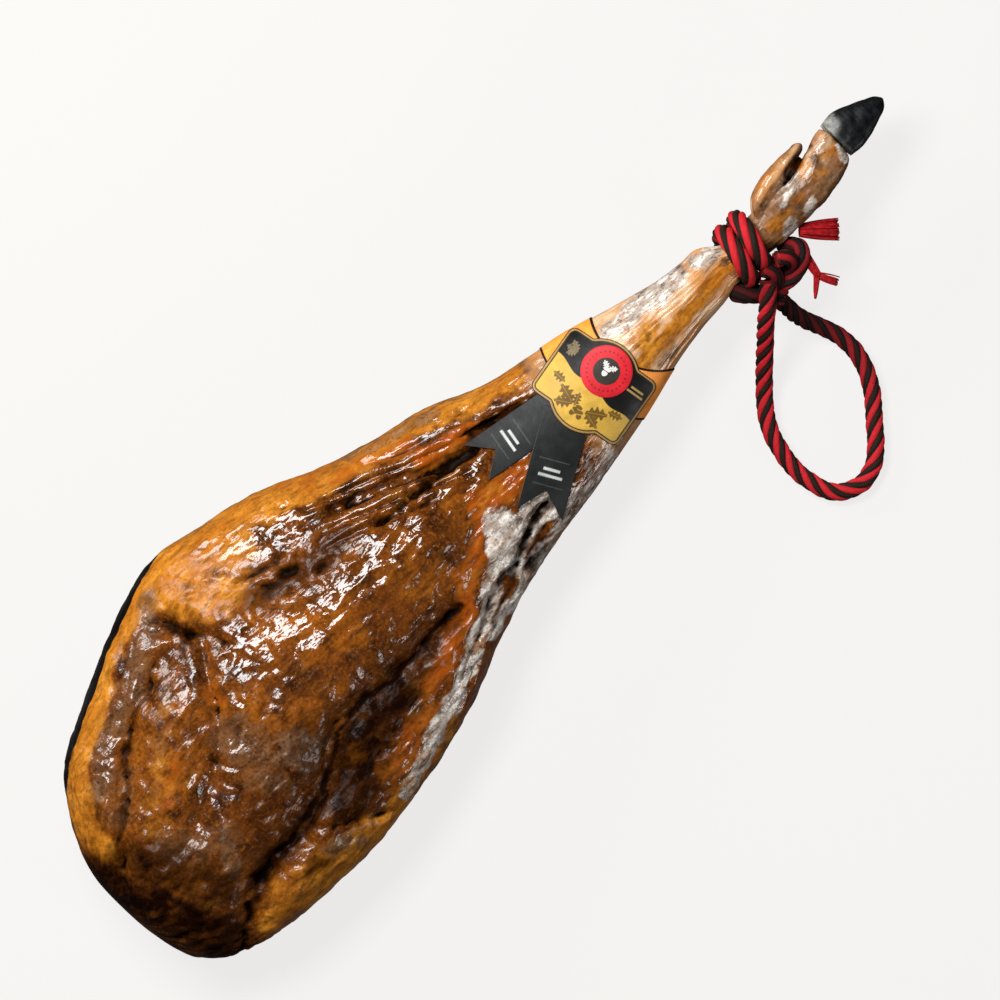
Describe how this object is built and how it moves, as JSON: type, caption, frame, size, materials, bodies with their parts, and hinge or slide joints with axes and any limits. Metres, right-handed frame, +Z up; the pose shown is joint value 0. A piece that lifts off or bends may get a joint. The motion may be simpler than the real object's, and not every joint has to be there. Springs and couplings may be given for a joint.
{
  "type": "cured ham",
  "caption": "Whole cured ham on the bone with its hoof, a rope loop tied round the shank and a paper band with a badge and ribbon tails, lying on its skin side.",
  "frame": {"origin": "bottom centre of the ham's box, without the free rope loop", "axes": "+X along the leg from butt to hoof, +Y to the side away from the knot, +Z up out of the shown inner face"},
  "size_m": [0.85, 0.3566, 0.1203],
  "materials": {
    "cured_meat": "oiled, glossy dried meat, fat and skin",
    "hoof_horn": "black hoof horn, worn to a dull gloss",
    "twisted_rope": "six-strand twisted cord, red and dark brown strands",
    "frayed_rope": "frayed red rope ends",
    "orange_paper": "matt coated paper with a thin black line along each edge",
    "badge_card": "printed card, black field over gold field, gold border",
    "seal_print": "glossy printed paper seal with a dark centre",
    "dark_paper": "matt charcoal paper ribbon"
  },
  "bodies": {
    "root": {"ham": "cured_meat", "hoof_upper": "hoof_horn", "hoof_lower": "hoof_horn", "rope_turns": "twisted_rope", "rope_knot": "twisted_rope", "rope_loop": "twisted_rope", "tassel_upper": "frayed_rope", "tassel_lower": "frayed_rope", "label_band": "orange_paper", "label_badge": "badge_card", "label_seal": "seal_print", "ribbon_left": "dark_paper", "ribbon_right": "dark_paper"}
  },
  "joints": []
}
